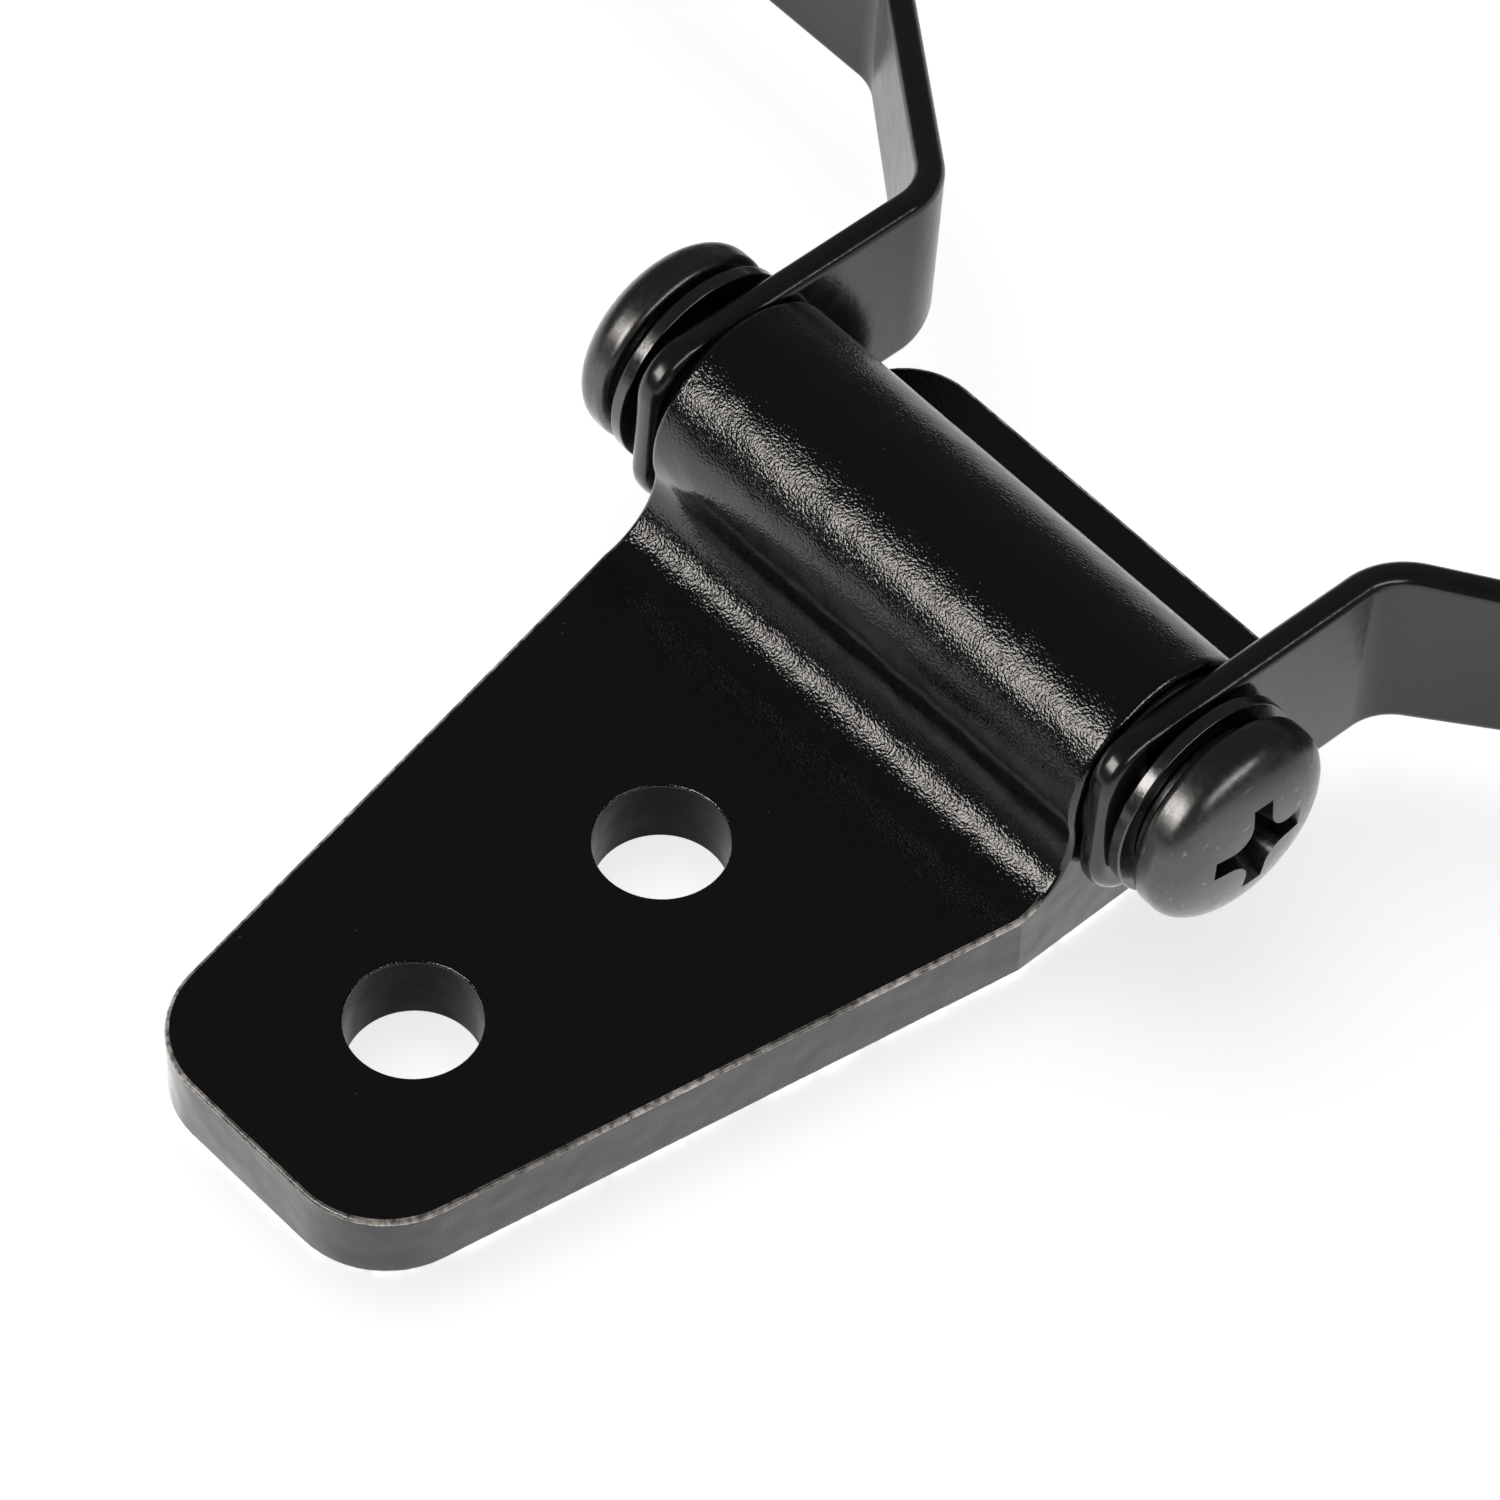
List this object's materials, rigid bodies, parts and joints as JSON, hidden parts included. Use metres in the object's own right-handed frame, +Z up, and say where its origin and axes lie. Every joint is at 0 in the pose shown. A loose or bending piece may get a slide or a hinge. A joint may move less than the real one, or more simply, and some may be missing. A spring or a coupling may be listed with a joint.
{
  "type": "t hinge",
  "caption": "Small T hinge: a tapered cast strap leaf with a barrel, pivoted between two bent bar arms whose flanges form the crossbar of the T.",
  "frame": {"origin": "on the underside of the strap leaf, straight below the middle of the pivot", "axes": "+X along the pivot to the right-hand screw, +Y from the strap towards the crossbar, +Z up from the underside of the strap leaf"},
  "size_m": [0.1054, 0.0659, 0.0146],
  "materials": {
    "powder_coat": "satin black powder coat with a fine texture",
    "smooth_coat": "semi-gloss black powder coat, smooth",
    "blackened_steel": "black oxide, satin",
    "black_nylon": "matt"
  },
  "bodies": {
    "strap": {"strap_leaf": "powder_coat", "right_bush": "black_nylon", "left_bush": "black_nylon"},
    "crossbar": {"right_arm": "smooth_coat", "left_arm": "smooth_coat", "pivot_sleeve": "blackened_steel", "right_lock_washer": "blackened_steel", "left_lock_washer": "blackened_steel", "right_flat_washer": "blackened_steel", "left_flat_washer": "blackened_steel", "right_pivot_screw": "blackened_steel", "left_pivot_screw": "blackened_steel"}
  },
  "joints": [
    {"name": "crossbar_swing", "type": "hinge", "parent": "strap", "child": "crossbar", "pos_m": [0, 0, 0.009], "axis": [1, 0, 0], "range_deg": [-8, 194]}
  ]
}
